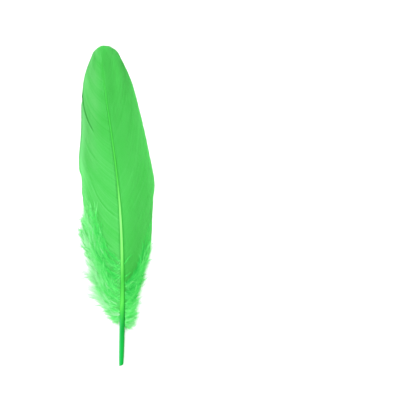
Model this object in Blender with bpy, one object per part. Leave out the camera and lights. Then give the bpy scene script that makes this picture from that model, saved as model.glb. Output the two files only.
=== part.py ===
"""A goose quill feather lying on a flat surface, back up: a hollow quill that runs on into the solid shaft,
a webbed vane on either side of it, and a tuft of down on either side below the vanes.

Blender 4.5, metres, +Z up. The origin is the middle of the feather's footprint, on the surface that it lies on.
+Y runs from the quill's open end to the feather's tip, and +X is to the right as the feather is seen from above.
"""

import math

import bmesh
import bpy
import numpy as np

MM = 0.001

# Driving sizes, in millimetres.
LENGTH = 180.0
TIP_Y = LENGTH / 2
END_Y = -LENGTH / 2
QUILL_WIDTH = 3.0
QUILL_BORE = 1.9
BORE_TOP_Y = -68.0
VANE_THICKNESS = 0.6
FIT_GAP = 0.3

# The slanting cut across the quill's open end: how far it climbs for each millimetre across and upwards.
CUT_CLIMB_X = 0.45
CUT_CLIMB_Z = 0.30

# Every line below is a smooth curve through a few (y, value) stations, in millimetres.
SHAFT_X = [(-90, 3.0), (-62, 3.7), (-33, 3.9), (-8, 3.1), (14, 1.3), (40, -2.1), (65, -5.8), (90, -8.7)]
SHAFT_Z = [(-90, 1.25), (-60, 3.2), (-25, 5.2), (15, 6.0), (55, 4.4), (90, 0.7)]
SHAFT_WIDTH = [
    (-90, 0.78 * QUILL_WIDTH),
    (-84, 0.92 * QUILL_WIDTH),
    (-66, QUILL_WIDTH),
    (-42, 2.35),
    (-10, 1.65),
    (32, 1.1),
    (66, 0.7),
    (90, 0.3),
]
DEPTH_TO_WIDTH = [(-90, 1.0), (-60, 1.0), (-30, 1.15), (60, 1.2), (90, 1.0)]

# Each half of the feather has two lines. Its reach is its outer edge, from the lowest down to the tip. Its foot is
# the slanting edge, along a barb, where the webbed vane above meets the loose down below.
LEFT = {
    "sign": -1,
    "reach": [
        (-66, 0.6),
        (-60, -6.0),
        (-50, -13.5),
        (-38, -17.5),
        (-24, -20.6),
        (-12, -21.9),
        (0, -20.6),
        (10, -19.8),
        (24, -21.1),
        (40, -20.0),
        (62, -19.3),
        (75, -17.3),
        (83, -14.3),
        (87.5, -12.0),
        (89.4, -9.6),
    ],
    "foot": [(-34, 2.4), (-24, -4.0), (-12, -12.6), (-1, -17.8), (7, -20.3)],
}
RIGHT = {
    "sign": 1,
    "reach": [
        (-68, 6.4),
        (-60, 11.0),
        (-50, 15.6),
        (-38, 19.4),
        (-26, 21.2),
        (-14, 20.9),
        (0, 21.2),
        (14, 21.8),
        (30, 18.8),
        (56, 12.9),
        (72, 8.2),
        (83, 3.0),
        (88, -0.2),
        (90, -3.4),
    ],
    "foot": [(-54, 6.0), (-43, 12.2), (-34, 16.0), (-24, 19.2), (-12, 20.6)],
}

# How each web sags from the shaft to the surface: 1 is a straight slope, and more holds it up near the shaft.
ARCH = 1.7
SHOULDER = 0.35
# The outermost part of a web's width lies flat on the surface.
FLAT_FROM = 0.92
# The down is this thick at its tips.
DOWN_RIM = 1.6
LEAST_STRIP = 0.35

SHAFT_SIDES = 12
SHAFT_RINGS = 44
VANE_ROWS, VANE_COLUMNS = 34, 8
DOWN_ROWS, DOWN_COLUMNS = 20, 6


def smooth(stations, y):
    """The value at y of a smooth curve through these (y, value) stations."""
    at, value = np.array(stations, float).T
    slope = np.gradient(value, at)
    y = min(max(y, at[0]), at[-1])
    i = min(max(int(np.searchsorted(at, y)) - 1, 0), len(at) - 2)
    step = at[i + 1] - at[i]
    t = (y - at[i]) / step
    from_start = (1 + 2 * t) * (1 - t) ** 2 * value[i] + t * (1 - t) ** 2 * step * slope[i]
    from_end = t * t * (3 - 2 * t) * value[i + 1] + t * t * (t - 1) * step * slope[i + 1]
    return from_start + from_end


def shaft_side(y, half):
    """The shaft's side at y, with the fit gap outside it."""
    return smooth(SHAFT_X, y) + half["sign"] * (smooth(SHAFT_WIDTH, y) / 2 + FIT_GAP)


def outermost(half, *places):
    """Whichever of these x places is furthest out on this half."""
    return max(places, key=lambda x: half["sign"] * x)


def innermost(half, *places):
    """Whichever of these x places is nearest the shaft on this half."""
    return min(places, key=lambda x: half["sign"] * x)


def arched(x, y, half, rim):
    """The height of the web's top, from a shoulder beside the shaft down to rim where it lies flat."""
    start = shaft_side(y, half)
    share = min(max((x - start) / (smooth(half["reach"], y) - start) / FLAT_FROM, 0.0), 1.0)
    shoulder = smooth(SHAFT_Z, y) + SHOULDER
    return rim + (shoulder - rim) * (1 - share**ARCH)


def clear_scene():
    for obj in list(bpy.data.objects):
        bpy.data.objects.remove(obj)


def material(name, colour, roughness):
    """A non-metal finish. colour is linear."""
    made = bpy.data.materials.new(name)
    made.use_nodes = True
    shader = made.node_tree.nodes["Principled BSDF"]
    shader.inputs["Base Color"].default_value = (*colour, 1.0)
    shader.inputs["Roughness"].default_value = roughness
    shader.inputs["Metallic"].default_value = 0.0
    made.diffuse_color = (*colour, 1.0)
    return made


def place(name, mesh, finish):
    """Turns a bmesh in millimetres into a named object in metres."""
    bmesh.ops.scale(mesh, vec=(MM, MM, MM), verts=mesh.verts)
    bmesh.ops.recalc_face_normals(mesh, faces=mesh.faces)
    data = bpy.data.meshes.new(name)
    mesh.to_mesh(data)
    mesh.free()
    data.materials.append(finish)
    data.shade_smooth()
    data.set_sharp_from_angle(angle=math.radians(50))
    obj = bpy.data.objects.new(name, data)
    bpy.context.scene.collection.objects.link(obj)
    return obj


def ring(mesh, y, width, depth, cut=False):
    """A ring of vertices round the shaft's line, sheared to the slant of the quill's open end where cut is true."""
    centre_x, centre_z = smooth(SHAFT_X, y), smooth(SHAFT_Z, y)
    lowest = smooth(SHAFT_WIDTH, END_Y) / 2
    points = []
    for k in range(SHAFT_SIDES):
        angle = 2 * math.pi * k / SHAFT_SIDES
        across, up = math.cos(angle) * width / 2, math.sin(angle) * depth / 2
        climb = CUT_CLIMB_X * (across + lowest) + max(CUT_CLIMB_Z * up, 0.0) if cut else 0.0
        points.append(mesh.verts.new((centre_x + across, y + climb, centre_z + up)))
    return points


def skin(mesh, rings):
    """Walls between neighbouring rings."""
    for near, far in zip(rings, rings[1:]):
        for k in range(len(near)):
            following = (k + 1) % len(near)
            mesh.faces.new((near[k], near[following], far[following], far[k]))


def shaft(finish):
    """The quill and shaft, grown in one: a tapering rod, its lower part a tube open at the slanting cut."""
    mesh = bmesh.new()
    rings = []
    for k in range(SHAFT_RINGS):
        y = TIP_Y + (END_Y - TIP_Y) * k / (SHAFT_RINGS - 1)
        width = smooth(SHAFT_WIDTH, y)
        rings.append(ring(mesh, y, width, width * smooth(DEPTH_TO_WIDTH, y), k == SHAFT_RINGS - 1))
    end_bore = smooth(SHAFT_WIDTH, END_Y) * QUILL_BORE / QUILL_WIDTH
    rings.append(ring(mesh, END_Y, end_bore, end_bore, True))
    for y in (END_Y + 4, END_Y + 12, BORE_TOP_Y):
        rings.append(ring(mesh, y, QUILL_BORE, QUILL_BORE))
    skin(mesh, rings)
    mesh.faces.new(rings[0])
    mesh.faces.new(rings[-1])
    return place("shaft", mesh, finish)


def rows_between(low, high, count):
    """Rows from low to high, closer together towards both ends, where the outline turns fastest."""
    return [low + (high - low) * (1 - math.cos(math.pi * k / count)) / 2 for k in range(count + 1)]


def web(name, half, rows, columns, edges, heights, finish):
    """A closed sheet between an inner and an outer edge, laid as rows across the feather.

    edges(y) gives the two edges, and heights(x, y) gives the sheet's underside and top. The last column covers
    the width that lies flat."""
    mesh = bmesh.new()
    shares = [FLAT_FROM * k / (columns - 1) for k in range(columns)] + [1.0]
    grid = []
    for y in rows:
        inner, outer = edges(y)
        outer = outermost(half, outer, inner + half["sign"] * LEAST_STRIP)
        across = [inner + (outer - inner) * share for share in shares]
        grid.append([mesh.verts.new((x, y, heights(x, y)[1])) for x in across])
    for near, far in zip(grid, grid[1:]):
        for k in range(columns):
            mesh.faces.new((near[k], near[k + 1], far[k + 1], far[k]))
    grown = bmesh.ops.extrude_face_region(mesh, geom=list(mesh.faces), use_keep_orig=True)
    for item in grown["geom"]:
        if isinstance(item, bmesh.types.BMVert):
            item.co.z = heights(item.co.x, item.co.y)[0]
    return place(name, mesh, finish)


def vane(name, half, finish):
    """One half's web of hooked barbs, from its foot to the tip, arched from the shaft down to the surface."""
    foot_y, foot_top_y, tip_y = half["foot"][0][0], half["foot"][-1][0], half["reach"][-1][0]

    def edges(y):
        reach = smooth(half["reach"], y)
        if y < foot_top_y:
            reach = innermost(half, reach, smooth(half["foot"], y))
        return shaft_side(y, half), reach

    def heights(x, y):
        top = arched(x, y, half, VANE_THICKNESS)
        return max(top - VANE_THICKNESS, 0.0), top

    rows = rows_between(foot_y, tip_y, VANE_ROWS)
    return web(name, half, rows, VANE_COLUMNS, edges, heights, finish)


def down(name, half, finish):
    """One half's tuft of down below the vane, as a solid that reaches its fibres' tips and lies on the surface."""
    bottom_y, foot_y, foot_top_y = half["reach"][0][0], half["foot"][0][0], half["foot"][-1][0]

    def edges(y):
        inner = shaft_side(y, half)
        if y > foot_y:
            inner = outermost(half, inner, smooth(half["foot"], y) + half["sign"] * FIT_GAP)
        return inner, smooth(half["reach"], y)

    def heights(x, y):
        return 0.0, arched(x, y, half, DOWN_RIM)

    rows = rows_between(bottom_y, foot_top_y, DOWN_ROWS)
    return web(name, half, rows, DOWN_COLUMNS, edges, heights, finish)


def main():
    clear_scene()
    keratin = material("quill_keratin", (0.14, 0.88, 0.12), 0.35)
    barbs = material("vane_barbs", (0.10, 0.67, 0.11), 0.6)
    fluff = material("down_fluff", (0.14, 0.85, 0.20), 0.9)
    shaft(keratin)
    vane("vane_left", LEFT, barbs)
    vane("vane_right", RIGHT, barbs)
    down("down_left", LEFT, fluff)
    down("down_right", RIGHT, fluff)


main()
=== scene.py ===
"""A goose quill feather, dyed green, lying back up on a pale floor in soft studio light.

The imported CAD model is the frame, and each of its nodes is replaced here by the real thing. The shaft is
drawn out ring by ring from a disc, then cut on the slant, walled and bored. The vanes and the down are hairs
by the hundred: one hair of each kind is modelled, and copies of it are laid along paths that grow out of the
shaft.

The feather's lines are the CAD model's own. Lengths are in millimetres until a mesh is made. A place along
the feather is its y, from -90 at the quill's cut end to 90 at the tip. A share runs from 0 to 1.
"""
import math

import bpy
import numpy as np
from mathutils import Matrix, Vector


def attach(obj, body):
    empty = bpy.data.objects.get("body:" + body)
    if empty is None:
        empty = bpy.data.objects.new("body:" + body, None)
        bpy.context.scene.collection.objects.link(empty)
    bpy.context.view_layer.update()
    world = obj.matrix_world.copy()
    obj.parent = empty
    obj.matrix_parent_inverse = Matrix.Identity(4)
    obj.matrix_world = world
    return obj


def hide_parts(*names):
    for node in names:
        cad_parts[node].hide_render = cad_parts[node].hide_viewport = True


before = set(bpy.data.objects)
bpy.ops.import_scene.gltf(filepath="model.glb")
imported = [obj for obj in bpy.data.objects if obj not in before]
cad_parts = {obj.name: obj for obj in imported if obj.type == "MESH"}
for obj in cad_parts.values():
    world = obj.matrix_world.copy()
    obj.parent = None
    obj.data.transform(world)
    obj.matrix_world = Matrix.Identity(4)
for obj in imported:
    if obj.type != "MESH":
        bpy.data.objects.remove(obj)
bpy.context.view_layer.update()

MM = 0.001
BODY = "root"
SEED = 20
UP = np.array([0.0, 0.0, 1.0])

# The shaft's lines, each a smooth curve through a few (y, value) stations. The first two are its middle.
SHAFT_X = [(-90, 3.0), (-62, 3.7), (-33, 3.9), (-8, 3.1), (14, 1.3), (40, -2.1), (65, -5.8), (90, -8.7)]
SHAFT_Z = [(-90, 1.25), (-60, 3.2), (-25, 5.2), (15, 6.0), (55, 4.4), (90, 0.7)]
SHAFT_WIDTH = [
    (-90, 2.34),
    (-84, 2.76),
    (-66, 3.0),
    (-42, 2.35),
    (-10, 1.65),
    (32, 1.1),
    (66, 0.7),
    (90, 0.3),
]
DEPTH_TO_WIDTH = [(-90, 1.0), (-60, 1.0), (-30, 1.15), (60, 1.2), (90, 1.0)]

# The arch of the webs: how far their upper face starts above the shaft's middle, the power of the curve, the
# share of the way out at which it has come down, and the height that it comes down to.
SHOULDER = [(-90, 0.35), (-66, 0.35), (-40, 0.48), (0, 0.52), (35, 0.5), (62, 0.37), (90, 0.3)]
ARCH = 1.7
FLAT_FROM = 0.92
EDGE_HEIGHT = 0.35

# Each half of the feather has
#   name          its name in the pieces' names
#   sign          the side of the shaft that it is on, -1 for the left
#   reach         the x of its outer edge at y, down and all
#   fill          the share of the way out to that edge that the web fills at y
#   root_angles   the angle in degrees at which the barb rooted at y leaves the shaft
#   edge_angles   the angle from the edge at which it meets it
#   bend          how late on its way a barb turns from the one to the other
#   web_roots     where its barbs are rooted, from and to
#   web_ends      the share of the fill that the barb rooted at y grows to
#   firm_above    the root above which the barbs hold together
#   creases      lines where the barbs have parted, as (share along the barb, root, width), with how much
#                 painted shade, the parting's shadow, lies in it and how far the barbs below it are lifted
#   down_roots    where its down is rooted, from and to
#   flow          the angle from the feather's line at which the down runs, by its share of the way out
#   low_flow      the same for the lowest plumes
#   flow_roots    the roots between which low_flow gives way to flow
#   lock_turn     how many degrees nearer to the shaft the locks on the down lie
#   fringe_below  the y below which the ends of the barbs are fringed
#   clumps        how many clumps its plumes grow in
#   strays        the plumes that have come away, each from and to (x, y, height)
# Its tints run from 0, the deepest green, to 1, the palest. Both halves are the same dyed keratin, so the
# right half's tints being set deeper than the left's is painted shade, the lamp being on the left:
#   tone          the web's tint; the halves differ in it by painted light and shade
#   deep          how much deeper the barb rooted at y is beside the shaft
#   edge_tone     how much paler it is at its end: the barbs' thinner ends, and on the left painted sheen too
#   fade          how much deeper the web gets with each millimetre up
#   grain         how much one barb differs from the next
#   down_tone     the down's tint beside the shaft
#   down_paling   how much paler the down is at its edge
LEFT = {
    "name": "left",
    "sign": -1,
    "reach": [
        (-66, 0.6),
        (-60, -6.0),
        (-50, -13.5),
        (-38, -17.5),
        (-24, -20.6),
        (-12, -21.9),
        (0, -20.6),
        (10, -19.8),
        (24, -21.1),
        (40, -20.0),
        (62, -19.3),
        (75, -17.3),
        (83, -14.3),
        (87.5, -12.0),
        (89.4, -9.6),
    ],
    "fill": [
        (-66, 0.3),
        (-58, 0.82),
        (-54, 1.2),
        (-49, 1.05),
        (-43, 1.44),
        (-37, 1.03),
        (-27, 1.08),
        (-20, 0.97),
        (-13, 0.945),
        (-5, 0.87),
        (3, 0.94),
        (10, 0.985),
        (17.5, 0.957),
        (20.5, 1.0),
        (57.5, 1.0),
        (60.5, 0.965),
        (63, 1.0),
        (90, 1.0),
    ],
    "root_angles": [(-66, 108), (-60, 88), (-52, 68), (-44, 56), (-34, 54), (-27, 55), (90, 55)],
    "edge_angles": [(-66, 75), (-58, 50), (-50, 36), (-42, 24), (-34, 15), (-24, 10), (90, 10)],
    "bend": 1.0,
    "web_roots": (-62.0, 89.0),
    "web_ends": [(-62, 0.35), (-54, 0.5), (-44, 0.74), (-34, 0.95), (-29, 1.0), (90, 1.0)],
    "firm_above": -32,
    "creases": [
        {
            "line": [(0.4, 31, 0.4), (0.62, 31, 0.8), (0.8, 31.4, 2.2), (0.92, 32, 4.5), (1.0, 32.6, 3.0)],
            "parting_shade": 0.7,
            "lift": 0.5,
        },
        {"line": [(0.28, 16.4, 0.5), (0.5, 15.0, 0.7), (0.8, 12.4, 0.9)], "parting_shade": 0.16, "lift": 0.25},
        {
            "line": [(0.03, -7, 0.5), (0.2, -8, 0.6), (0.42, -8, 0.7), (0.53, -5, 0.8), (0.62, 3, 0.9)],
            "parting_shade": 0.2,
            "lift": 0.3,
        },
        {"line": [(0.08, -27, 0.4), (0.3, -27.2, 0.45), (0.56, -27, 0.5)], "parting_shade": 0.45, "lift": 0.0},
    ],
    "down_roots": (-63.4, -29),
    "flow": [(0, 72), (0.15, 62), (0.35, 36), (0.6, 22), (0.85, 26), (1.0, 44)],
    "low_flow": [(0, 112), (0.3, 98), (0.6, 84), (1.0, 84)],
    "flow_roots": (-63.6, -48),
    "lock_turn": 16,
    "fringe_below": 4.0,
    "clumps": 60,
    "strays": [
        ((-18.0, -14.3, 1.4), (-22.0, -12.2, 1.0)),
        ((-16.6, -23.6, 1.6), (-21.4, -22.6, 1.2)),
        ((-12.8, -39.5, 1.8), (-20.3, -40.7, 0.8)),
        ((-11.0, -51.8, 1.5), (-15.8, -51.2, 0.8)),
        ((-8.2, -56.0, 1.4), (-12.8, -55.3, 0.8)),
        ((1.6, -64.3, 2.0), (-1.9, -64.9, 1.2)),
    ],
    "tone": 0.56,
    "deep": [(-62, 0.2), (-35, 0.1), (-20, 0.08), (-5, 0.06), (10, 0.03), (30, 0), (90, 0)],
    "edge_tone": [(-62, 0.2), (-25, 0.24), (-8, 0.5), (31, 0.55), (34, 0.2), (90, 0.2)],
    "fade": 0.003,
    "grain": 0.055,
    "down_tone": 0.32,
    "down_paling": 0.74,
}
RIGHT = {
    "name": "right",
    "sign": 1,
    "reach": [
        (-68, 6.4),
        (-60, 11.0),
        (-50, 15.6),
        (-38, 19.4),
        (-26, 21.2),
        (-14, 20.9),
        (0, 21.2),
        (14, 21.8),
        (30, 18.8),
        (56, 12.9),
        (72, 8.2),
        (83, 3.0),
        (88, -0.2),
        (90, -3.4),
    ],
    "fill": [
        (-68, 0.6),
        (-62, 0.72),
        (-50, 0.82),
        (-36, 0.86),
        (-24, 0.93),
        (-5, 0.97),
        (12, 0.995),
        (90, 0.995),
    ],
    "root_angles": [(-68, 96), (-62, 72), (-56, 52), (-48, 40), (90, 38)],
    "edge_angles": [(-68, 60), (-60, 36), (-52, 20), (-44, 10), (90, 10)],
    "bend": 0.8,
    "web_roots": (-62.0, 89.4),
    "web_ends": [(-62, 0.35), (-55, 0.6), (-50, 0.86), (-46, 1.0), (90, 1.0)],
    "firm_above": -47,
    "creases": [{"line": [(0.2, -11.3, 0.5), (0.55, -12, 0.7)], "parting_shade": -0.1, "lift": 0.0}],
    "down_roots": (-67.0, -42),
    "flow": [(0, 70), (0.2, 48), (0.5, 30), (0.9, 24), (1.0, 36)],
    "low_flow": [(0, 100), (0.3, 84), (0.6, 70), (1.0, 64)],
    "flow_roots": (-67, -52),
    "lock_turn": 6,
    "fringe_below": -14.0,
    "clumps": 48,
    "strays": [
        ((4.9, -32.4, 6.0), (9.2, -26.8, 5.9)),
        ((5.2, -39.5, 5.6), (8.4, -37.2, 5.4)),
    ],
    "tone": 0.47,
    "deep": [(-62, 0.3), (-45, 0.16), (-25, 0.04), (-12, 0), (90, 0)],
    "edge_tone": [(-60, 0.12), (90, 0.12)],
    "fade": 0.0,
    "grain": 0.03,
    "down_tone": 0.2,
    "down_paling": 0.42,
}

# The growing of hairs: each goes on by steps up to the longest, and is rooted this deep in the shaft.
STEP = 0.5
LONGEST = 75.0
ROOT_DEPTH = 0.25
BARB_RINGS = 25
PLUME_RINGS = 14

# The barbs are as far apart as real ones. Real barbules are about 0.03 mm apart and finer than that, too fine
# to show, so they are drawn several times coarser: each stands for many.
BARB_SPACING = 0.42
BARBULE_PITCH = 0.3
BARBULE_WIDTH = 0.075


def smooth(stations, y):
    """The values at y, a number or an array, of a smooth curve through these (y, value) stations."""
    at, value = np.array(stations, float).T
    slope = np.gradient(value, at)
    y = np.clip(y, at[0], at[-1])
    i = np.clip(np.searchsorted(at, y) - 1, 0, len(at) - 2)
    step = at[i + 1] - at[i]
    t = (y - at[i]) / step
    from_start = (1 + 2 * t) * (1 - t) ** 2 * value[i] + t * (1 - t) ** 2 * step * slope[i]
    from_end = t * t * (3 - 2 * t) * value[i + 1] + t * t * (t - 1) * step * slope[i + 1]
    return from_start + from_end


def straight(stations, y):
    """The values at y of straight lines through these (y, value) stations."""
    at, value = np.array(stations, float).T
    return np.interp(y, at, value)


def ease(value, low, high):
    """From 0 at low to 1 at high, smoothly."""
    t = np.clip((value - low) / (high - low), 0, 1)
    return t * t * (3 - 2 * t)


def shaft_side(y, half):
    """The shaft's side at y."""
    return smooth(SHAFT_X, y) + half["sign"] * smooth(SHAFT_WIDTH, y) / 2


def share_across(x, y, half):
    """How far x is from the shaft's side, 0, to the feather's edge, 1."""
    start = shaft_side(y, half)
    return (x - start) / (smooth(half["reach"], y) - start)


def web_height(x, y, half):
    """The height of the web's upper face, which leaves the shaft at a shoulder and arches down."""
    share = np.clip(share_across(x, y, half) / FLAT_FROM, 0, 1)
    shoulder = smooth(SHAFT_Z, y) + smooth(SHOULDER, y)
    return EDGE_HEIGHT + (shoulder - EDGE_HEIGHT) * (1 - share**ARCH)


def web_normal(x, y, half):
    """The direction square to the web's upper face."""
    slope_x = (web_height(x + 0.2, y, half) - web_height(x - 0.2, y, half)) / 0.4
    slope_y = (web_height(x, y + 0.2, half) - web_height(x, y - 0.2, half)) / 0.4
    return unit(np.stack([-slope_x, -slope_y, np.ones_like(x)], -1))


# The steepest slope that a heading follows, so that the blunt tip doesn't turn the barbs too far.
STEEPEST = 0.6


def heading_of(stations, y, half):
    """The heading at y of the line through these stations, as an angle from +Y towards the outside."""
    slope = smooth(stations, y + 0.5) - smooth(stations, y - 0.5)
    return np.arctan(np.clip(slope * half["sign"], -STEEPEST, STEEPEST))


def unit(vectors):
    """The same directions, one long."""
    return vectors / np.maximum(np.linalg.norm(vectors, axis=-1, keepdims=True), 1e-9)


def noise_along(at, spacing, rng):
    """Smooth random values from -1 to 1 at these places on a line, with a new one every spacing."""
    low = np.min(at)
    knots = rng.uniform(-1, 1, int((np.max(at) - low) / spacing) + 3)
    place = (at - low) / spacing
    i = place.astype(int)
    t = (1 - np.cos(math.pi * (place - i))) / 2
    return knots[i] * (1 - t) + knots[i + 1] * t


def ring_shares(hairs, rings):
    """The share along a hair of each of its rings, for this many hairs."""
    return np.linspace(0, 1, rings)[None] * np.ones((hairs, 1))


# Hairs: one of each kind modelled, and copies laid along paths.


def start_modelling():
    """Leaves nothing selected for the next operator to catch."""
    if bpy.context.object and bpy.context.object.mode != "OBJECT":
        bpy.ops.object.mode_set(mode="OBJECT")
    bpy.ops.object.select_all(action="DESELECT")


def model_hair(sides, rings):
    """The points and faces of one hair along +Y, one long and of radius one, that ends in a point."""
    start_modelling()
    bpy.ops.mesh.primitive_circle_add(
        vertices=sides, radius=1, fill_type="NGON", rotation=(math.pi / 2, 0, 0), location=(0, 0, 0)
    )
    bpy.ops.object.transform_apply(location=True, rotation=True, scale=True)
    bpy.ops.object.mode_set(mode="EDIT")
    bpy.ops.mesh.select_all(action="SELECT")
    for _ in range(rings - 1):
        bpy.ops.mesh.extrude_region_move(TRANSFORM_OT_translate={"value": (0, 1 / (rings - 1), 0)})
    bpy.ops.mesh.merge(type="CENTER")
    bpy.ops.mesh.select_all(action="SELECT")
    bpy.ops.mesh.normals_make_consistent(inside=False)
    bpy.ops.object.mode_set(mode="OBJECT")
    hair = bpy.context.object
    points = np.array([v.co[:] for v in hair.data.vertices])
    faces = [tuple(p.vertices) for p in hair.data.polygons]
    bpy.data.objects.remove(hair)
    return points, faces


BARB = model_hair(4, BARB_RINGS)
PLUME = model_hair(3, PLUME_RINGS)
BARBULE = model_hair(3, 2)


def lay(hair, paths, ups, widths, depths, along, tint, length):
    """A layer: copies of a hair along these paths, with the attributes of all their vertices.

    The paths are a (hairs, rings, 3) array and ups the directions that the hairs' upper faces look in. Half
    widths, half depths, the share along the path and the tint are (hairs, rings) arrays, and length holds one
    value a hair."""
    points, faces = hair
    ring = np.rint(points[:, 1] * (paths.shape[1] - 1)).astype(int)
    forwards = unit(np.gradient(paths, axis=1))
    sides = unit(np.cross(forwards, ups))
    square = np.cross(sides, forwards)
    places = (
        paths[:, ring]
        + sides[:, ring] * (points[:, 0] * widths[:, ring])[..., None]
        + square[:, ring] * (points[:, 2] * depths[:, ring])[..., None]
    )
    attributes = {
        "tint": tint[:, ring],
        "lay_mm": along[:, ring] * length[:, None] + np.abs(points[:, 0]) * widths[:, ring],
    }
    return places, faces, attributes


def combed_normals(mesh, corner, combed):
    """A normal for each corner of the faces: its vertex's own, turned by this share to straight up on a face
    that looks up, and to straight down on the others."""
    own = np.zeros(3 * len(mesh.vertices), np.float32)
    mesh.vertices.foreach_get("normal", own)
    looks = np.zeros(3 * len(mesh.polygons), np.float32)
    mesh.polygons.foreach_get("normal", looks)
    corners = np.zeros(len(mesh.polygons), np.int32)
    mesh.polygons.foreach_get("loop_total", corners)
    normals = (1 - combed) * own.reshape(-1, 3)[corner]
    normals[:, 2] += combed * np.repeat(np.where(looks[2::3] >= 0, 1.0, -1.0), corners)
    return unit(normals)


def join_layers(layers):
    """The places, the faces and the attributes of all the hairs of these layers, numbered as in one mesh."""
    places, faces, values = [], [], {"tint": [], "lay_mm": []}
    start = 0
    for layer_places, layer_faces, attributes in layers:
        hairs, each, _ = layer_places.shape
        places.append(layer_places.reshape(-1, 3))
        for size in sorted({len(f) for f in layer_faces}):
            block = np.array([f for f in layer_faces if len(f) == size])
            moved = block[None] + start + (np.arange(hairs) * each)[:, None, None]
            faces.extend(map(tuple, moved.reshape(-1, size).tolist()))
        for key in values:
            values[key].append(attributes[key].reshape(-1))
        start += hairs * each
    return np.concatenate(places), faces, {key: np.concatenate(parts) for key, parts in values.items()}


def unwrap_from_above(mesh, places, corner):
    """Gives the mesh a UV map for baking, which is the piece seen from above."""
    flat = places[:, :2] - places[:, :2].min(0)
    flat /= flat.max(0)
    bake = mesh.uv_layers.new(name="OFBake")
    bake.data.foreach_set("uv", flat[corner].astype(np.float32).ravel())


def make_piece(name, layers, finish, combed=0.0):
    """One mesh of all the hairs of these layers, stopped by the floor.

    A combed piece is shaded, by that share, as the soft face that its hairs make together."""
    places, faces, values = join_layers(layers)
    places[:, 2] = np.maximum(places[:, 2], 0.0)
    mesh = bpy.data.meshes.new(name)
    mesh.from_pydata((places * MM).tolist(), [], faces)
    for key, value in values.items():
        attribute = mesh.attributes.new(key, "FLOAT", "POINT")
        attribute.data.foreach_set("value", value.astype(np.float32))
    corner = np.zeros(len(mesh.loops), np.int32)
    mesh.loops.foreach_get("vertex_index", corner)
    unwrap_from_above(mesh, places, corner)
    mesh.materials.append(finish)
    mesh.shade_smooth()
    if combed:
        mesh.normals_split_custom_set(combed_normals(mesh, corner, combed).tolist())
    piece = bpy.data.objects.new(name, mesh)
    bpy.context.scene.collection.objects.link(piece)
    return piece


# The growing of barbs.


def web_headings(half, roots):
    """How the barbs from these roots run: off the shaft, and round until they almost follow the edge."""
    root_angle = np.radians(straight(half["root_angles"], roots))
    edge_angle = np.radians(straight(half["edge_angles"], roots))

    def heading(share, y):
        bent = share ** half["bend"]
        from_shaft = heading_of(SHAFT_X, y, half) + root_angle
        to_edge = heading_of(half["reach"], y, half) + edge_angle
        return from_shaft * (1 - bent) + to_edge * bent

    return heading


def down_headings(half, roots, turns):
    """How the plumes from these roots run, turned outwards by these degrees: the lowest straight out, and the
    others out, up beside the web and out again."""
    low = 1 - ease(roots, *half["flow_roots"])

    def heading(share, y):
        flow = straight(half["low_flow"], share) * low + straight(half["flow"], share) * (1 - low)
        return np.radians(flow + turns)

    return heading


# How far under the feather's top the shortest barbs would stop.
UNDER_TOP = 8.0


def grow_barbs(half, roots, ends, headings, rings, farthest=0.995, longest=LONGEST):
    """Barbs from these roots on the shaft, along these headings, to these shares of the web's fill.

    The shorter a barb is, the farther under the feather's top it stops too. Gives the (barbs, rings, 2) paths
    and their lengths."""
    sign = half["sign"]
    x, y = shaft_side(roots, half) - sign * ROOT_DEPTH, roots.astype(float)
    trail = [np.stack([x, y], 1)]
    length = np.full(len(roots), LONGEST)
    top = half["reach"][-1][0]
    for k in range(int(LONGEST / STEP)):
        heading = headings(np.clip(share_across(x, y, half), 0, 1), y)
        x, y = x + sign * STEP * np.sin(heading), y + STEP * np.cos(heading)
        trail.append(np.stack([x, y], 1))
        past_edge = share_across(x, y, half) >= np.minimum(ends * straight(half["fill"], y), farthest)
        past_top = y >= top - (1 - np.minimum(ends, 1)) * UNDER_TOP
        length = np.where((past_edge | past_top) & (length == LONGEST), (k + 1) * STEP, length)
    length = np.minimum(length, longest)
    return along_trail(np.stack(trail, 1), length, rings), length


def along_trail(trail, length, rings):
    """Even rings along these trails of steps, each up to its length."""
    place = length[:, None] * np.linspace(0, 1, rings)[None] / STEP
    before = np.minimum(place.astype(int), trail.shape[1] - 2)
    part = (place - before)[..., None]
    rows = np.arange(len(trail))[:, None]
    return trail[rows, before] * (1 - part) + trail[rows, before + 1] * part


def outward(paths):
    """The direction square to these (hairs, rings, 2) paths, 90 degrees clockwise from their run."""
    run = unit(np.gradient(paths, axis=1))
    return np.stack([run[..., 1], -run[..., 0]], -1)


def wave(paths, size, length, rng):
    """Bends these paths from side to side by up to this size, more and more towards their ends, in waves of
    about this length."""
    hairs, rings, _ = paths.shape
    along = ring_shares(hairs, rings)
    phase = rng.uniform(0, 2 * math.pi, (hairs, 1))
    pitch = rng.uniform(0.7, 1.4, (hairs, 1)) * length
    run = np.linalg.norm(np.diff(paths, axis=1, prepend=paths[:, :1]), axis=-1).cumsum(1)
    bends = np.sin(run / pitch * 2 * math.pi + phase) * along**1.3
    return paths + outward(paths) * (bends * size)[..., None]


# The webs. Half a barb's width is the share OVERLAP of its gap to the next, so that each edge is tucked under
# the next one's. Half its depth is given at its root and its tip. Loose barbs wave by this much, over this
# length.
GAPS = 0.06, 0.5
OVERLAP = 0.66
BARB_DEPTHS = 0.26, 0.09
POINT_SHARE = 0.06
LOOSENING = 8.0
LOOSE_WAVE = 0.35, 9
RIPPLE = 0.1
FADE_ZERO, FADE_TOP = 20, 60


def gaps_between(paths):
    """The distance from each point of each path to the path before it."""
    gaps = np.zeros(paths.shape[:2])
    for k in range(1, len(paths)):
        a, b = paths[k - 1, :-1], paths[k - 1, 1:]
        fine = np.concatenate([a + (b - a) * t for t in (0, 0.25, 0.5, 0.75)] + [paths[k - 1, -1:]])
        gaps[k] = np.linalg.norm(paths[k][:, None] - fine[None], axis=-1).min(1)
    gaps[0] = gaps[1]
    return gaps


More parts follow.
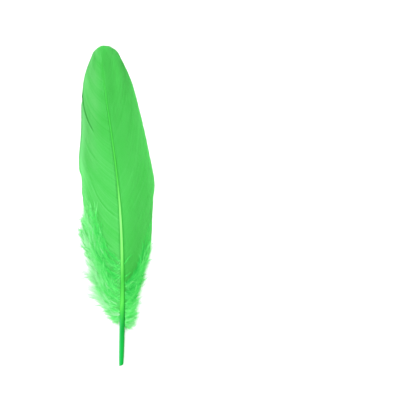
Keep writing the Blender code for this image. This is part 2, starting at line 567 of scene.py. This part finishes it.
def part_barbs(half, roots, along):
    """Where the barbs have parted: how much painted shade each point takes, and how far it is lifted.

    The gap of a parting takes painted shade for its shadow, and the barbs below it stand up a little and are
    painted paler, as light caught on their raised edge."""
    parting_shade = np.zeros((len(roots), along.shape[1]))
    lift = np.zeros_like(parting_shade)
    for crease in half["creases"]:
        at, root, width = np.array(crease["line"]).T
        above = roots[:, None] - np.interp(along, at, root)
        width = np.interp(along, at, width)
        window = ease(along, at[0], at[0] + 0.1) * (1 - ease(along, at[-1] - 0.05, at[-1] + 0.02))
        parting_shade += crease["parting_shade"] * window * np.exp(-(((above - 0.5 * width) / width) ** 2))
        lift += crease["lift"] * window * np.where(above < 0, np.exp(above / 3), 0)
        parting_shade -= 0.25 * crease["parting_shade"] * window * np.where(above < 0, np.exp(above / 2), 0)
    return parting_shade, lift


def ragged_ends(half, roots, loose, rng):
    """The shares of the fill that the barbs grow to: almost even where they are firm, ragged where loose."""
    uneven = 1 + 0.008 * noise_along(roots, 2.5, rng) + rng.uniform(-0.004, 0.004, len(roots))
    return straight(half["web_ends"], roots) * uneven * (1 + loose * rng.uniform(-0.25, 0.25, len(roots)))


def web_tint(half, roots, along, y, rng):
    """The web's tint: streaked from barb to barb, deeper beside the shaft and paler at the edge."""
    streaks = half["grain"] * (rng.normal(0, 1, len(roots)) + 0.8 * noise_along(roots, 6.0, rng))
    deep = straight(half["deep"], roots)[:, None] * (1 - ease(along, 0.1, 0.5))
    # The ends are paler where the barbs thin out, and on the left half partly as painted sheen.
    pale = straight(half["edge_tone"], roots)[:, None] * ease(along, 0.55, 0.95)
    fade = half["fade"] * (np.minimum(y, FADE_TOP) - FADE_ZERO)
    # The halves' tones differ by painted light on the left and painted shade on the right.
    return half["tone"] + streaks[:, None] + pale - deep - fade


def web_layer(half, rng):
    """The web of one half, as barbs laid side by side, and the barbs themselves for what grows on them.

    Low down the barbs are shorter and loose: they taper, wave and part from each other."""
    roots = np.arange(*half["web_roots"], BARB_SPACING)
    loose = np.clip((half["firm_above"] - roots) / LOOSENING, 0, 1)
    ends = ragged_ends(half, roots, loose, rng)
    flat, length = grow_barbs(half, roots, ends, web_headings(half, roots), BARB_RINGS)
    half_width = OVERLAP * np.clip(gaps_between(flat), *GAPS)
    loose = loose[:, None]
    flat = wave(flat, LOOSE_WAVE[0] * loose, LOOSE_WAVE[1], rng)
    x, y = flat[..., 0], flat[..., 1]
    along = ring_shares(len(roots), BARB_RINGS)
    taper = np.clip((1 - along) / POINT_SHARE, 0.15, 1) * (1 - 0.3 * loose * ease(along, 0.35, 1))
    depths = (BARB_DEPTHS[0] * (1 - along) + BARB_DEPTHS[1] * along) * taper
    parting_shade, lift = part_barbs(half, roots, along)
    ripple = RIPPLE * noise_along(roots, 3.0, rng)[:, None] * np.sin(math.pi * along)
    z = web_height(x, y, half) - depths + ripple + lift
    paths = np.stack([x, y, np.maximum(z, depths)], -1)
    # The partings' painted shade and painted light are taken off the tint.
    tint = web_tint(half, roots, along, y, rng) - parting_shade
    layer = lay(BARB, paths, web_normal(x, y, half), half_width * taper, depths, along, tint, length)
    return layer, {"paths": paths, "tint": tint}


# Barbules: how many cling together on one side of a hair, by what share of the way to their middle one, and
# how much the bundles differ in tint.
BUNDLE = 4
CLING = 0.75
BUNDLE_CONTRAST = 0.22
POINT_PALING = 0.08
FRINGE_BARBULES = 120
FRINGE_LENGTH = 2.2
FRINGE_TINT = 0.5


def points_on(hairs, t):
    """The places at these shares along these hairs, the runs there, and the tints."""
    paths = hairs["paths"]
    place = t * (paths.shape[1] - 1)
    i = np.minimum(place.astype(int), paths.shape[1] - 2)
    part = place - i
    rows = np.arange(len(paths))[:, None]
    at = paths[rows, i] * (1 - part[..., None]) + paths[rows, i + 1] * part[..., None]
    tint = hairs["tint"][rows, i] * (1 - part) + hairs["tint"][rows, i + 1] * part
    return at, unit(paths[rows, i + 1] - paths[rows, i]), tint


def in_bundles(count, each, rng):
    """The lean, turn and shade, from about -1 to 1, of this many barbules on each hair: nearly the same in a
    bundle. Gives also the barbule that each one clings to."""
    bundle = np.arange(each) // (2 * BUNDLE) * 2 + np.arange(each) % 2
    leader = np.minimum(bundle // 2 * 2 * BUNDLE + BUNDLE + bundle % 2, each - 1)
    bundled = rng.uniform(-1, 1, (3, count, bundle.max() + 1))[:, :, bundle]
    loose = rng.uniform(-1, 1, (3, count, each))
    return 0.8 * bundled + 0.25 * loose, leader


def barbules(hairs, each, start, long, tilt, roll, rng):
    """Barbules on these hairs from the share start on, to either side in turn, as a layer of fine spikes.

    Each leans off its hair by about tilt degrees and rolls about it by up to roll degrees, and long gives its
    length from its share along the hair."""
    count = len(hairs["paths"])
    t = start + (1 - start) * (np.arange(each)[None] + rng.uniform(0, 1, (count, each))) / each
    at, run, tint = points_on(hairs, t)
    (lean, turn, shade), leader = in_bundles(count, each, rng)
    hand = np.where(np.arange(each) % 2, 1.0, -1.0)[None, :, None]
    side = unit(np.cross(run, UP))
    up = np.cross(side, run)
    lean = np.radians(tilt * (1 + 0.35 * lean))[..., None]
    turn = np.radians(roll * turn)[..., None]
    away = side * np.cos(turn) * hand + up * np.sin(turn)
    reach = (long(t) * rng.uniform(0.6, 1.4, t.shape))[..., None]
    ends = at + (run * np.cos(lean) + away * np.sin(lean)) * reach + CLING * (at[:, leader] - at)
    return lay_spikes(at, ends, tint + BUNDLE_CONTRAST * shade, BARBULE_WIDTH)


def lay_spikes(starts, ends, tint, width):
    """Straight spikes between these places, a little paler at their points."""
    paths = np.stack([starts, ends], -2).reshape(-1, 2, 3)
    length = np.linalg.norm(paths[:, 1] - paths[:, 0], axis=1)
    half_width = np.full((len(paths), 2), width / 2)
    tints = (tint[..., None] + np.array([0.0, POINT_PALING])).reshape(-1, 2)
    off_upright = np.array([0.1, 0.05, 1.0])
    return lay(BARBULE, paths, off_upright, half_width, half_width, ring_shares(len(paths), 2), tints, length)


def web_fringe(half, barbs, rng):
    """The free barbules along the outer ends of the lower barbs, which nothing locks together."""
    tips = barbs["paths"][:, -1, 1]
    low = tips < half["fringe_below"]
    fringed = {"paths": barbs["paths"][low], "tint": np.full(barbs["tint"][low].shape, FRINGE_TINT)}
    grown = ease(half["fringe_below"] - tips[low], 0, 10)[:, None]

    def long(t):
        return FRINGE_LENGTH * (0.3 + 0.7 * grown) * ease(t, 0.3, 0.7)

    return barbules(fringed, FRINGE_BARBULES, 0.35, long, 36, 25, rng)


# The down: plumes in clumps, the locks that lie on them and a few bare stems. Turns are in degrees. The foot
# is the lowest stretch, where the plumes are palest.
PLUMES_IN_CLUMP = 4
BARBULES_ON_PLUME = 104
LONGEST_PLUME = 42
FARTHEST_PLUME = 1.25
PLUME_THICKNESS = 0.12
PLUME_BARBULE = 3.4
CLUMP_TURN, PLUME_TURN = 7, 4
DRAWN_TOGETHER = 0.6
START_UNDER, START_RANGE = 0.6, 1.1
LOFT = 1.6
FOOT_LENGTH = 16
FOOT_PALING = 0.55
LOCKS_ON_PLUME = 4
LOCK_HAIRS = 7
LOCK_LENGTHS = 3.5, 7.5
LOCK_SPREAD = 0.45, 0.06
TOOTH_TURN = 28
BARE_STEMS = 18
BARE_STEM_LENGTHS = 4, 9
BARE_STEM_TURN = 135


def grow_down(half, rng):
    """Plumes of down in clumps that draw together towards their tips. Some end early, so the edge is soft."""
    clumps = half["clumps"]
    count = clumps * PLUMES_IN_CLUMP
    roots = np.sort(rng.uniform(*half["down_roots"], count))
    clump = np.arange(count) // PLUMES_IN_CLUMP
    middle = clump * PLUMES_IN_CLUMP + PLUMES_IN_CLUMP // 2
    turns = rng.normal(0, CLUMP_TURN, clumps)[clump] + rng.normal(0, PLUME_TURN, count)
    ends = rng.uniform(0.88, 1.1, clumps)[clump] * (0.45 + 0.62 * rng.uniform(0, 1, count) ** 1.2)
    headings = down_headings(half, roots, turns)
    flat, length = grow_barbs(half, roots, ends, headings, PLUME_RINGS, FARTHEST_PLUME, LONGEST_PLUME)
    along = ring_shares(count, PLUME_RINGS)
    pull = (DRAWN_TOGETHER * along**1.5)[..., None]
    flat = wave(flat * (1 - pull) + flat[middle] * pull, 0.5, 12, rng)
    level = rng.uniform(0.5, 1.0, clumps)[clump] + rng.normal(0, 0.1, count)
    level = np.clip(level, 0.05, 1.1)[:, None]
    paths = raise_plumes(flat, roots, level, along, half)
    own = rng.normal(0, 0.1, clumps)[clump] + rng.normal(0, 0.08, count)
    tint = own[:, None] + down_tint(half, roots, level, along, paths)
    return {"paths": paths, "length": length, "tint": tint, "along": along}


def down_tint(half, roots, level, along, paths):
    """How pale plumes are: more so towards the edge, on top, and all along at the foot of the down."""
    share = share_across(paths[..., 0], paths[..., 1], half)
    low = half["down_roots"][0]
    foot = (1 - ease(roots, low, low + FOOT_LENGTH))[:, None] * (0.7 + 0.3 * along)
    edge = half["down_paling"] * ease(share, 0.35, 1.05)
    return half["down_tone"] + edge + FOOT_PALING * foot + 0.25 * (level - 0.75)


def raise_plumes(flat, roots, level, along, half):
    """Gives flat plumes their height: from the shaft's side out under the arch, each at its own level."""
    x, y = flat[..., 0], flat[..., 1]
    start = smooth(SHAFT_Z, roots)[:, None] - START_UNDER + START_RANGE * level
    share = np.clip(share_across(x, y, half), 0, 1)
    loft = (web_height(x, y, half) + LOFT * ease(share, 0.3, 0.9)) * level + 0.3
    mix = ease(along, 0.0, 0.35)
    return np.stack([x, y, start * (1 - mix) + loft * mix], -1)


def plume_layers(plumes, thick, each, long, tilt, rng):
    """Plumes as two layers: their paler stems, this thick at the root, and their barbules."""
    along = plumes["along"]
    half_width = thick / 2 * (1 - 0.6 * along)
    pale = plumes["tint"] + 0.1
    stems = lay(PLUME, plumes["paths"], UP, half_width, half_width, along, pale, plumes["length"])
    return [stems, barbules(plumes, each, 0.04, long, tilt, 16, rng)]


def down_layers(half, rng):
    """All the down of one half: its plumes, the locks on them and the bare stems over their roots."""
    plumes = grow_down(half, rng)

    def long(t):
        return PLUME_BARBULE * (0.7 + 0.3 * ease(t, 0.0, 0.3)) * (1 - 0.5 * ease(t, 0.6, 1))

    layers = plume_layers(plumes, PLUME_THICKNESS, BARBULES_ON_PLUME, long, 38, rng)
    return layers + [lock_layer(half, plumes, rng), bare_stem_layer(half, rng)]


def lock_layer(half, plumes, rng):
    """Locks on the upper face of the down: hairs drawn together to a point, some deeper and some paler.

    At the outer edge they turn outwards and stand free as teeth."""
    t = rng.uniform(0.05, 1.0, (len(plumes["paths"]), LOCKS_ON_PLUME))
    at, run, tint = (v.reshape(-1, *v.shape[2:]) for v in points_on(plumes, t))
    share = np.clip(share_across(at[:, 0], at[:, 1], half), 0, 1)
    outward_swing = TOOTH_TURN * ease(share, 0.7, 0.95) - half["lock_turn"] * (1 - ease(share, 0.5, 0.8))
    swing = np.radians(rng.normal(0, 8, len(at)) + outward_swing)[:, None]
    side = unit(np.cross(run, UP))
    run = (run * np.cos(swing) + half["sign"] * side * np.sin(swing))[:, None]
    side = side[:, None]
    long = (rng.uniform(*LOCK_LENGTHS, len(at)) * (1 - 0.5 * ease(share, 0.7, 1)))[:, None, None]
    across, back, longer = rng.uniform(-1, 1, (3, len(at), LOCK_HAIRS, 1))
    root_spread, point_spread = LOCK_SPREAD
    starts = at[:, None] + side * across * root_spread + run * (back + 1) * 1.2
    ends = at[:, None] + run * long * (1 + 0.12 * longer) + side * across * point_spread
    starts[..., 2] += 0.5
    ends[..., 2] += 0.9
    shade = 0.15 * rng.normal(0, 1, (len(at), 1)) + 0.05 * back[..., 0]
    return lay_spikes(starts, ends, tint[:, None] + shade, BARBULE_WIDTH * 1.3)


def bare_stem_layer(half, rng):
    """Thin bare stems that hang back from the shaft over the roots of the down."""
    low, high = half["down_roots"]
    roots = rng.uniform(low + 4, high, BARE_STEMS)
    heading = np.radians(rng.normal(BARE_STEM_TURN, 9, BARE_STEMS))
    long = rng.uniform(*BARE_STEM_LENGTHS, BARE_STEMS)
    start = np.stack([shaft_side(roots, half), roots, smooth(SHAFT_Z, roots) + 0.9], -1)
    run = np.stack([half["sign"] * np.sin(heading), np.cos(heading), np.full(BARE_STEMS, -0.03)], -1)
    along = ring_shares(BARE_STEMS, PLUME_RINGS)
    paths = start[:, None] + run[:, None] * (along * long[:, None])[..., None]
    paths[..., 1] += 0.8 * along**2
    half_width = 0.08 * (1 - 0.6 * along)
    tint = rng.uniform(0.45, 0.8, BARE_STEMS)[:, None] * np.ones_like(along)
    return lay(PLUME, paths, UP, half_width, half_width, along, tint, long)


# The plumes that have come away, with thicker stems and shorter barbules than the rest.
STRAY_THICKNESS = 0.34
STRAY_BARBULES = 32
STRAY_TINT = 0.3


def stray_layers(strays, rng):
    """Single plumes that have come away from the rest, each from one place to another."""
    start, end = np.array([s[0] for s in strays], float), np.array([s[1] for s in strays], float)
    along = ring_shares(len(strays), PLUME_RINGS)
    paths = start[:, None] * (1 - along[..., None]) + end[:, None] * along[..., None]
    paths[..., 2] += 0.5 * np.sin(math.pi * along)
    paths[..., :2] = wave(paths[..., :2], 0.3, 8, rng)
    length = np.linalg.norm(end - start, axis=1)
    plumes = {"paths": paths, "length": length, "tint": np.full(along.shape, STRAY_TINT), "along": along}
    return plume_layers(plumes, STRAY_THICKNESS, STRAY_BARBULES, lambda t: 1.3 * (1 - 0.5 * t), 25, rng)


# The finishes.


def srgb(code):
    """A linear colour, with alpha 1, from an sRGB hex value."""
    parts = [int(code[i : i + 2], 16) / 255 for i in (1, 3, 5)]
    return (*[p / 12.92 if p <= 0.04045 else ((p + 0.055) / 1.055) ** 2.4 for p in parts], 1.0)


def node(tree, kind, inputs=(), stops=(), **settings):
    """Adds a node with its settings, its inputs as values or sockets to link, and a ramp's stops."""
    made = tree.nodes.new("ShaderNode" + kind)
    for key, value in settings.items():
        setattr(made, key, value)
    for key, value in dict(inputs).items():
        if isinstance(value, bpy.types.NodeSocket):
            tree.links.new(value, made.inputs[key])
        else:
            made.inputs[key].default_value = value
    for k, (place, code) in enumerate(stops):
        stop = made.color_ramp.elements[k] if k < 2 else made.color_ramp.elements.new(place)
        stop.position, stop.color = place, srgb(code)
    return made


def new_finish(name):
    """An empty material and its node tree."""
    made = bpy.data.materials.new(name)
    made.use_nodes = True
    made.node_tree.nodes.clear()
    return made, made.node_tree


def show(tree, shader):
    """Sends a shader to the output."""
    node(tree, "OutputMaterial", {"Surface": shader})


# The dye has taken in faint clouds this wide. The painted sheen is a paler and greyer green, a painted
# highlight that comes in between these places across the feather and along it.
DYE_CLOUDS = 9 * MM
PAINTED_SHEEN = "#86c98c"
PAINTED_SHEEN_SHARE = 0.27
PAINTED_SHEEN_X = -7.5 * MM, -12 * MM
PAINTED_SHEEN_Y = 15 * MM, 55 * MM
TOOTH_HEIGHT = 0.03 * MM
LIGHT_THROUGH = 0.1


def painted_sheen_share(tree, place, level):
    """Where the painted sheen lies: on the outer band of the left web's upper half, and not in a parting."""
    x, y, _ = node(tree, "SeparateXYZ", {0: place}).outputs
    outwards = {"Value": x, "From Min": PAINTED_SHEEN_X[0], "From Max": PAINTED_SHEEN_X[1]}
    outwards = node(tree, "MapRange", outwards).outputs["Result"]
    upwards = {"Value": y, "From Min": PAINTED_SHEEN_Y[0], "From Max": PAINTED_SHEEN_Y[1]}
    upwards = node(tree, "MapRange", upwards).outputs["Result"]
    together = node(tree, "MapRange", {"Value": level, "From Min": 0.35, "From Max": 0.65}).outputs["Result"]
    band = node(tree, "Math", {0: outwards, 1: upwards}, operation="MULTIPLY").outputs[0]
    painted_sheen = node(tree, "Math", {0: band, 1: together}, operation="MULTIPLY").outputs[0]
    return node(tree, "Math", {0: painted_sheen, 1: PAINTED_SHEEN_SHARE}, operation="MULTIPLY").outputs[0]


def web_finish():
    """Dyed barb keratin: thin, satin and a little see-through, each barb a slightly different green.

    The locked barbules stand up as fine teeth along each barb."""
    finish, tree = new_finish("dyed_barb_web")
    tint = node(tree, "Attribute", attribute_name="tint").outputs["Fac"]
    place = node(tree, "TexCoord").outputs["Object"]
    cloud = node(tree, "TexNoise", {"Vector": place, "Scale": 1 / DYE_CLOUDS, "Detail": 3.0}).outputs["Fac"]
    level = node(tree, "Math", {0: cloud, 1: 0.16, 2: tint}, operation="MULTIPLY_ADD").outputs[0]
    stops = [(0.05, "#19822e"), (0.35, "#2ab432"), (0.55, "#38bd42"), (0.75, "#4bc455"), (1.0, "#67d271")]
    dyed = node(tree, "ValToRGB", {"Fac": level}, stops).outputs["Color"]
    # A painted sheen over the left web's outer band, as light caught there.
    painted_sheen = painted_sheen_share(tree, place, level)
    colour = node(tree, "MixRGB", {0: painted_sheen, 1: dyed, 2: srgb(PAINTED_SHEEN)}).outputs[0]
    laid = node(tree, "Attribute", attribute_name="lay_mm").outputs["Fac"]
    teeth = node(tree, "Math", {0: laid, 1: 2 * math.pi / BARBULE_PITCH}, operation="MULTIPLY").outputs[0]
    teeth = node(tree, "Math", {0: teeth}, operation="SINE").outputs[0]
    bump = node(tree, "Bump", {"Strength": 0.25, "Distance": TOOTH_HEIGHT, "Height": teeth}).outputs["Normal"]
    inputs = {"Base Color": colour, "Roughness": 0.55, "IOR": 1.5, "Normal": bump}
    inputs.update({"Sheen Weight": 0.1, "Sheen Roughness": 0.5})
    shader = node(tree, "BsdfPrincipled", inputs).outputs[0]
    through = node(tree, "BsdfTranslucent", {"Color": colour}).outputs[0]
    show(tree, node(tree, "MixShader", {0: LIGHT_THROUGH, 1: shader, 2: through}).outputs[0])
    return finish


def down_finish():
    """Dyed down: matt and bright. Its colours are its own pale green made paler still, painted light standing
    in for the light that passes through its fine hairs and comes out again.

    It is deepest beside the shaft and palest at its edge."""
    finish, tree = new_finish("dyed_down")
    tint = node(tree, "Attribute", attribute_name="tint").outputs["Fac"]
    stops = [(0.1, "#22c849"), (0.4, "#4aeb60"), (0.68, "#71f581"), (1.0, "#adf7b5")]
    colour = node(tree, "ValToRGB", {"Fac": tint}, stops).outputs["Color"]
    inputs = {"Base Color": colour, "Roughness": 0.8, "IOR": 1.4, "Sheen Weight": 0.1, "Sheen Roughness": 0.6}
    show(tree, node(tree, "BsdfPrincipled", inputs).outputs[0])
    return finish


# The shaft's dye, by the share of the way from its cut end to its tip. Its fine lines are drawn several times
# wider than real ones, to show at all.
SHAFT_DYE = [
    (0.0, "#009c36"),
    (0.06, "#009e36"),
    (0.12, "#008e2e"),
    (0.17, "#33ad3a"),
    (0.2, "#50c048"),
    (0.27, "#3dae3a"),
    (0.36, "#72cf60"),
    (0.46, "#80da70"),
    (0.58, "#44b03e"),
    (0.66, "#42b03c"),
    (0.75, "#3db03e"),
]
# The colours change along the shaft on this slant across it, which carries the quill's deep green higher up
# its right side: painted shade.
PAINTED_SHADE_SLANT = 3.4 * MM
QUILL_FROM, QUILL_TO = -56 * MM, -64 * MM
STRIA_WIDTH, STRIA_DEPTH = 0.35 * MM, 0.05 * MM


def shaft_dye(tree, place):
    """The shaft's colour, which changes along it on a slant across it, as painted shade on its right side.

    The quill's left side is painted paler, as a highlight, and its right side is painted deeper, as shade,
    all the way up."""
    across = node(tree, "Attribute", attribute_name="across").outputs["Fac"]
    y = node(tree, "SeparateXYZ", {0: place}).outputs["Y"]
    slant = node(tree, "Math", {0: across, 1: -PAINTED_SHADE_SLANT, 2: y}, operation="MULTIPLY_ADD").outputs[0]
    along = {"Value": slant, "From Min": SHAFT_X[0][0] * MM, "From Max": SHAFT_X[-1][0] * MM}
    along = node(tree, "MapRange", along).outputs["Result"]
    middle = node(tree, "ValToRGB", {"Fac": along}, SHAFT_DYE).outputs["Color"]
    quill = {"Value": slant, "From Min": QUILL_FROM, "From Max": QUILL_TO}
    quill = node(tree, "MapRange", quill).outputs["Result"]
    # The quill's left side is mixed towards a pale teal: a painted highlight.
    left = node(tree, "MapRange", {"Value": across, "From Min": -0.1, "From Max": -0.8}).outputs["Result"]
    left = node(tree, "Math", {0: left, 1: quill}, operation="MULTIPLY").outputs[0]
    colour = node(tree, "MixRGB", {0: left, 1: middle, 2: srgb("#34a85c")}).outputs[0]
    # The right side is mixed towards deeper greens, deepest on the quill: painted shade.
    right = node(tree, "MapRange", {"Value": across, "From Min": 0.35, "From Max": 0.8}).outputs["Result"]
    painted_shade_side = node(tree, "MixRGB", {0: quill, 1: srgb("#2aa232"), 2: srgb("#008228")}).outputs[0]
    return node(tree, "MixRGB", {0: right, 1: colour, 2: painted_shade_side}).outputs[0]


def keratin_finish():
    """Dyed quill keratin: smooth as horn, with a faint gloss and fine lines along it.

    The foam core shows bright through the upper shaft, and the hollow quill below it takes the dye deep."""
    finish, tree = new_finish("dyed_quill_keratin")
    place = node(tree, "TexCoord").outputs["Object"]
    colour = shaft_dye(tree, place)
    drawn_out = node(tree, "Mapping", {"Vector": place, "Scale": (1, 0.03, 1)}).outputs[0]
    lines = {"Vector": drawn_out, "Scale": 1 / STRIA_WIDTH, "Detail": 2.0}
    lines = node(tree, "TexNoise", lines).outputs["Fac"]
    bump = node(tree, "Bump", {"Strength": 0.3, "Distance": STRIA_DEPTH, "Height": lines}).outputs["Normal"]
    inputs = {"Base Color": colour, "Roughness": 0.28, "IOR": 1.54, "Specular IOR Level": 0.03}
    inputs.update({"Coat Weight": 0.1, "Coat Roughness": 0.12, "Normal": bump})
    show(tree, node(tree, "BsdfPrincipled", inputs).outputs[0])
    return finish


# The shaft. The slopes of the cut leave the quill longest at its lower left. The grooves are pressed into the
# underside, as (from, to, depth): a long one, and the pit where the quill ends.
SHAFT_SIDES = 24
SHAFT_RINGS = 72
PAST_THE_CUT = 2.0
CUT_ACROSS, CUT_UP = 0.45, 0.30
QUILL_WALL = 0.22
BORE_STEPS = 6
BORE_TOP = -68.0
BORE_NARROWS_TO = 0.6
GROOVES = [(-62, 40, 0.22), (-65.5, -62, 0.5)]


def shaft_centre(y):
    """The shaft's middle at y, in metres."""
    return Vector((smooth(SHAFT_X, y), y, smooth(SHAFT_Z, y))) * MM


def draw_out_shaft():
    """The solid shaft, from a disc at its tip to just past the quill's end."""
    ys = np.linspace(SHAFT_X[-1][0], SHAFT_X[0][0] - PAST_THE_CUT, SHAFT_RINGS)
    widths = smooth(SHAFT_WIDTH, ys)
    deeps = widths * smooth(DEPTH_TO_WIDTH, ys)
    bpy.ops.mesh.primitive_circle_add(
        vertices=SHAFT_SIDES,
        radius=widths[0] / 2 * MM,
        fill_type="NGON",
        rotation=(math.pi / 2, 0, 0),
        location=shaft_centre(ys[0]),
    )
    bpy.ops.object.transform_apply(location=True, rotation=True, scale=True)
    bpy.ops.object.mode_set(mode="EDIT")
    bpy.ops.mesh.select_all(action="SELECT")
    for k in range(1, SHAFT_RINGS):
        step = shaft_centre(ys[k]) - shaft_centre(ys[k - 1])
        bpy.ops.mesh.extrude_region_move(TRANSFORM_OT_translate={"value": step})
        size = (widths[k] / widths[k - 1], 1, deeps[k] / deeps[k - 1])
        bpy.ops.transform.resize(value=size, center_override=shaft_centre(ys[k]))


def cut_and_bore_quill():
    """The slanting cut across the quill's end, and the hollow behind it."""
    end = SHAFT_X[0][0]
    radius = SHAFT_WIDTH[0][1] / 2
    cut_y = end + radius * math.hypot(CUT_ACROSS, CUT_UP)
    bpy.ops.mesh.select_all(action="SELECT")
    bpy.ops.mesh.bisect(
        plane_co=shaft_centre(cut_y), plane_no=(-CUT_ACROSS, 1, -CUT_UP), use_fill=True, clear_inner=True
    )
    bpy.ops.mesh.inset(thickness=QUILL_WALL * MM)
    levels = np.linspace(cut_y, BORE_TOP, BORE_STEPS + 1)
    for low, high in zip(levels[:-1], levels[1:]):
        step = shaft_centre(high) - shaft_centre(low)
        bpy.ops.mesh.extrude_region_move(TRANSFORM_OT_translate={"value": step})
        grown = smooth(SHAFT_WIDTH, high) / smooth(SHAFT_WIDTH, low)
        bpy.ops.transform.resize(value=(grown, 1, grown), center_override=shaft_centre(high))
    narrow = (BORE_NARROWS_TO, 1, BORE_NARROWS_TO)
    bpy.ops.transform.resize(value=narrow, center_override=shaft_centre(BORE_TOP))


def press_underside(shaft, low, high, depth):
    """Presses the line along the middle of the shaft's underside up by depth, between these two places."""
    bpy.ops.mesh.select_all(action="DESELECT")
    bpy.ops.object.mode_set(mode="OBJECT")
    for vertex in shaft.data.vertices:
        x, y, z = vertex.co / MM
        in_middle = abs(x - smooth(SHAFT_X, y)) < 0.03 and z < smooth(SHAFT_Z, y)
        vertex.select = bool(low < y < high and in_middle)
    bpy.ops.object.mode_set(mode="EDIT")
    bpy.ops.transform.translate(value=(0, 0, depth * MM))


def measure_across(shaft):
    """Gives the shaft the attribute across, from -1 at its left side to 1 at its right."""
    places = np.array([v.co[:] for v in shaft.data.vertices]) / MM
    across = (places[:, 0] - smooth(SHAFT_X, places[:, 1])) / (smooth(SHAFT_WIDTH, places[:, 1]) / 2)
    attribute = shaft.data.attributes.new("across", "FLOAT", "POINT")
    attribute.data.foreach_set("value", across.astype(np.float32))


def model_shaft(finish):
    """The quill and the shaft above it, in one piece."""
    start_modelling()
    bpy.context.tool_settings.mesh_select_mode = (True, False, False)
    draw_out_shaft()
    cut_and_bore_quill()
    bpy.ops.mesh.select_all(action="SELECT")
    bpy.ops.mesh.normals_make_consistent(inside=False)
    shaft = bpy.context.object
    for low, high, depth in GROOVES:
        press_underside(shaft, low, high, depth)
    bpy.ops.object.mode_set(mode="OBJECT")
    shaft.name = "quill_shaft"
    shaft.data.materials.append(finish)
    bpy.ops.object.shade_smooth_by_angle(angle=math.radians(40))
    measure_across(shaft)
    return shaft


def finish_piece(piece, node_name):
    """Puts a piece on the feather's body in place of its CAD node."""
    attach(piece, BODY)
    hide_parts(node_name)


# How far the down is shaded as one soft face.
COMBED = 0.85


def add_half(half, web, down, rng):
    """The web and the down of one half. The fringe on the web's lowest barbs is fluff too."""
    layer, barbs = web_layer(half, rng)
    piece = make_piece("web_" + half["name"], [layer], web)
    finish_piece(piece, "vane_" + half["name"])
    fluff = down_layers(half, rng) + [web_fringe(half, barbs, rng)] + stray_layers(half["strays"], rng)
    piece = make_piece("fluff_" + half["name"], fluff, down, COMBED)
    finish_piece(piece, "down_" + half["name"])


# The studio, in metres.
FLOOR_SIZE = 4
FLOOR_GAP = 0.00005
SKY_STRENGTH = 1.6
LAMP_PLACE = Vector((-0.6, 0.35, 0.6))
LAMP_SIZE = 0.5
LAMP_POWER = 3.0
CAMERA_PLACE = (0.04725, 0.0034, 0.8)
CAMERA_LENS = 128


def stage_floor():
    """A sheet of matt white paper, just under the feather: nearly white, with a soft shadow and no shine."""
    start_modelling()
    bpy.ops.mesh.primitive_plane_add(size=FLOOR_SIZE, location=(0, 0, -FLOOR_GAP))
    floor = bpy.context.object
    floor.name = "floor"
    finish, tree = new_finish("matt_white_paper")
    shader = node(tree, "BsdfPrincipled", {"Base Color": srgb("#f8f8f7"), "Roughness": 0.9})
    show(tree, shader.outputs[0])
    floor.data.materials.append(finish)


def light_studio():
    """Even white light from all round, and one large soft lamp at the upper left."""
    scene = bpy.context.scene
    scene.view_settings.view_transform = "Standard"
    scene.world = bpy.data.worlds.new("studio")
    scene.world.use_nodes = True
    sky = scene.world.node_tree.nodes["Background"].inputs
    sky["Color"].default_value = srgb("#ffffff")
    sky["Strength"].default_value = SKY_STRENGTH
    lamp = bpy.data.lights.new("key", "AREA")
    lamp.energy = LAMP_POWER
    lamp.size = LAMP_SIZE
    key = bpy.data.objects.new("key", lamp)
    key.location = LAMP_PLACE
    key.rotation_euler = (-LAMP_PLACE).to_track_quat("-Z", "Y").to_euler()
    scene.collection.objects.link(key)


def place_camera():
    """The camera, looking straight down, with the feather on the left of the picture."""
    scene = bpy.context.scene
    camera = bpy.data.objects.new("camera", bpy.data.cameras.new("camera"))
    camera.data.lens = CAMERA_LENS
    camera.location = CAMERA_PLACE
    scene.collection.objects.link(camera)
    scene.camera = camera


rng = np.random.default_rng(SEED)
finish_piece(model_shaft(keratin_finish()), "shaft")
web = web_finish()
down = down_finish()
for half in (LEFT, RIGHT):
    add_half(half, web, down, rng)
stage_floor()
light_studio()
place_camera()
